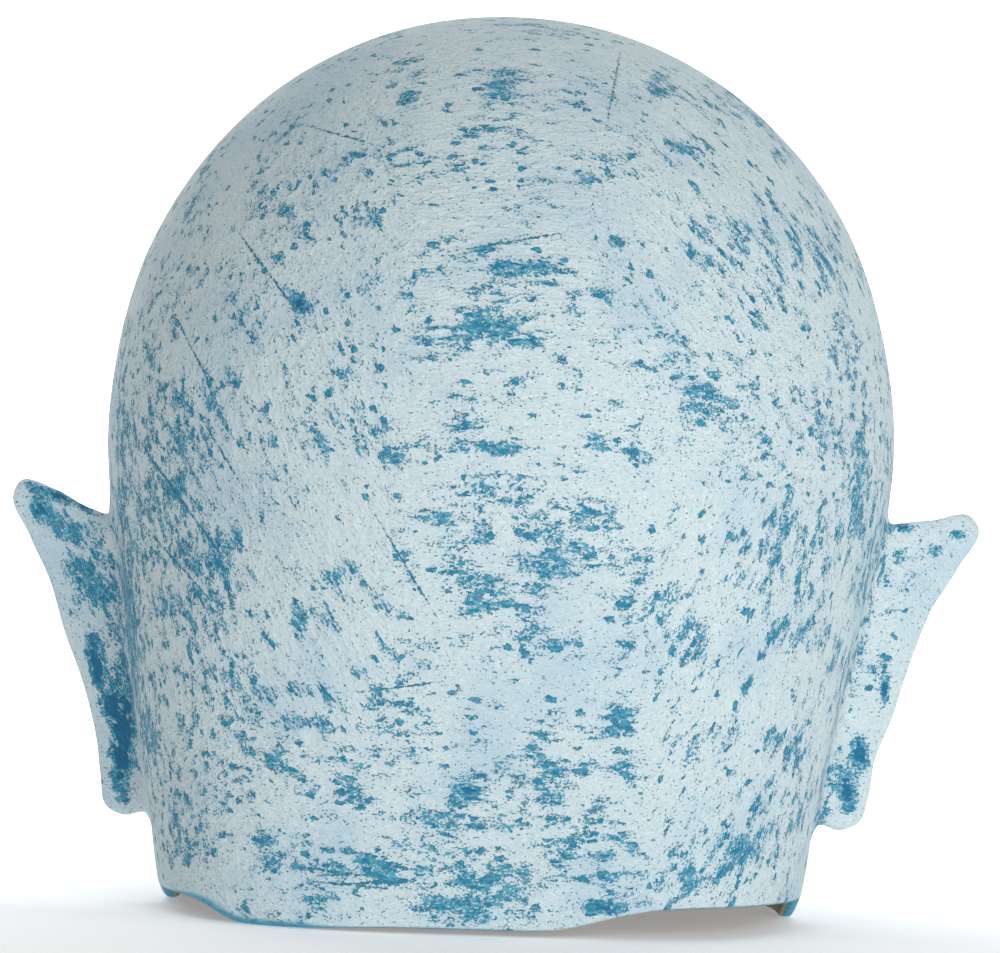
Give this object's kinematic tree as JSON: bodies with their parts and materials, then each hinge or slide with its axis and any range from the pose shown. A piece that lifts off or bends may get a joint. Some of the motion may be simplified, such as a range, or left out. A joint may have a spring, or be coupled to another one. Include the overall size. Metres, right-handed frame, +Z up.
{
  "type": "full-head clown mask",
  "caption": "Full-head clown mask: a hollow shell with a bald dome, pointed ears, ball nose and eye holes, open at the neck, that stands on its rim.",
  "frame": {"origin": "centre of the bounding box's underside, on the plane that the neck rim stands on", "axes": "+Z up through the crown, -Y the way the face looks, +X towards the wearer's left ear"},
  "size_m": [0.3053, 0.2685, 0.2842],
  "materials": {
    "painted_paper": "matt pale blue-white coat dry-brushed over blue paint, which shows in every pit, scratch and recess"
  },
  "bodies": {
    "root": {"mask": "painted_paper"}
  },
  "joints": []
}
